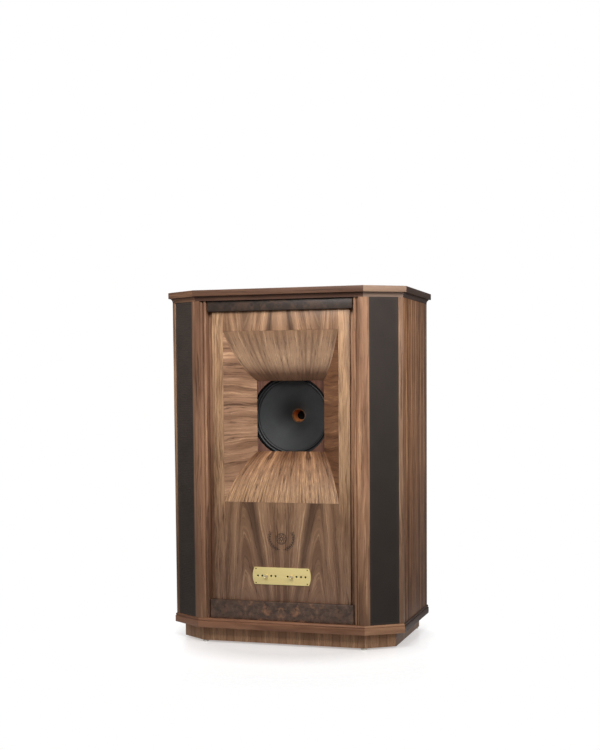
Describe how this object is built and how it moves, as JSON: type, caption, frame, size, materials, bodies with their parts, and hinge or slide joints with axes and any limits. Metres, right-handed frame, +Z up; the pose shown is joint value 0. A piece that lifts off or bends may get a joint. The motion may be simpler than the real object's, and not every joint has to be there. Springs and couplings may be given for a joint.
{
  "type": "horn loudspeaker",
  "caption": "Floor-standing horn loudspeaker: chamfered walnut cabinet, rectangular front horn on a dual-concentric driver, folded rear horn behind perforated side grilles.",
  "frame": {"origin": "on the floor, under the middle of the cap outline", "axes": "+Z up, the horn faces -Y, +X to the right as seen from the front"},
  "size_m": [0.98, 0.56, 1.399],
  "materials": {
    "walnut": "satin",
    "walnut_veneer": "satin",
    "burr_walnut": "gloss",
    "plywood": "matt",
    "glide": "satin",
    "grille": "satin",
    "driver_metal": "hammered",
    "black_rubber": "matt",
    "cone_paper": "matt pulp",
    "spider_cloth": "impregnated",
    "copper": "satin copper",
    "magnet_iron": "painted",
    "diaphragm": "bare",
    "brass": "satin",
    "bakelite": "polished",
    "red_cap": "polished",
    "black_cap": "polished"
  },
  "bodies": {
    "cabinet": {"top_board": "walnut", "cornice_board": "walnut", "base_board": "walnut", "plinth_front": "walnut", "plinth_back": "walnut", "plinth_side_left": "walnut", "plinth_side_right": "walnut", "plinth_chamfer_left": "walnut", "plinth_chamfer_right": "walnut", "glide_front_left": "glide", "glide_front_right": "glide", "glide_rear_left": "glide", "glide_rear_right": "glide", "side_panel_left": "walnut", "side_panel_right": "walnut", "back_panel": "plywood", "corner_strip_left": "walnut", "corner_strip_right": "walnut", "pilaster_left": "walnut", "pilaster_right": "walnut", "side_grille_left": "grille", "side_grille_right": "grille", "burr_rail_top": "burr_walnut", "burr_rail_bottom": "burr_walnut", "front_baffle": "walnut_veneer", "horn_flare_top": "walnut_veneer", "horn_flare_bottom": "walnut_veneer", "horn_cheek_left": "walnut_veneer", "horn_cheek_right": "walnut_veneer", "driver_board": "walnut_veneer", "chamber_top": "plywood", "chamber_bottom": "plywood", "chamber_back": "plywood", "chamber_left": "plywood", "chamber_right": "plywood", "rear_horn_divider_left": "plywood", "rear_horn_divider_right": "plywood", "driver_frame": "driver_metal", "driver_gasket": "black_rubber", "cone_surround": "black_rubber", "spider": "spider_cloth", "magnet": "magnet_iron", "hf_throat": "copper", "hf_rear_cover": "driver_metal", "control_plate": "brass", "control_block": "bakelite", "crossover_board": "plywood", "crossover_inductor": "copper", "crossover_capacitor": "driver_metal", "terminal_plate": "bakelite"},
    "cone_assembly": {"cone": "cone_paper", "voice_coil_former": "copper"},
    "hf_dome": {"hf_diaphragm": "diaphragm"},
    "washer_left": {"thumbscrew_washer_left": "brass"},
    "washer_right": {"thumbscrew_washer_right": "brass"},
    "screw_left": {"thumbscrew_left": "brass"},
    "screw_right": {"thumbscrew_right": "brass"},
    "cap_positive": {"terminal_cap_positive": "red_cap"},
    "cap_negative": {"terminal_cap_negative": "black_cap"}
  },
  "joints": [
    {"name": "cone_travel", "type": "slide", "parent": "cabinet", "child": "cone_assembly", "axis": [0, -1, 0], "range_m": [-0.006, 0.006], "stiffness_N_per_m": 2500, "deforming": ["cone_surround", "spider"]},
    {"name": "hf_travel", "type": "slide", "parent": "cabinet", "child": "hf_dome", "axis": [0, -1, 0], "range_m": [-0.0005, 0.0005], "stiffness_N_per_m": 400},
    {"name": "screw_left_travel", "type": "slide", "parent": "cabinet", "child": "washer_left", "axis": [0, -1, 0], "range_m": [0, 0.009]},
    {"name": "screw_left_turn", "type": "hinge", "parent": "washer_left", "child": "screw_left", "pos_m": [-0.0615, -0.25, 0.277], "axis": [0, -1, 0], "range_deg": [0, 2160]},
    {"name": "screw_right_travel", "type": "slide", "parent": "cabinet", "child": "washer_right", "axis": [0, -1, 0], "range_m": [0, 0.009]},
    {"name": "screw_right_turn", "type": "hinge", "parent": "washer_right", "child": "screw_right", "pos_m": [0.043, -0.25, 0.277], "axis": [0, -1, 0], "range_deg": [0, 2160]},
    {"name": "cap_positive_turn", "type": "hinge", "parent": "cabinet", "child": "cap_positive", "pos_m": [-0.019, 0.27, 0.234], "axis": [0, 1, 0], "range_deg": [0, 720]},
    {"name": "cap_negative_turn", "type": "hinge", "parent": "cabinet", "child": "cap_negative", "pos_m": [0.019, 0.27, 0.234], "axis": [0, 1, 0], "range_deg": [0, 720]}
  ],
  "couplings": [
    {"joint": "screw_left_travel", "follows": "screw_left_turn", "m_per_rad": 0.00023873},
    {"joint": "screw_right_travel", "follows": "screw_right_turn", "m_per_rad": 0.00023873}
  ]
}
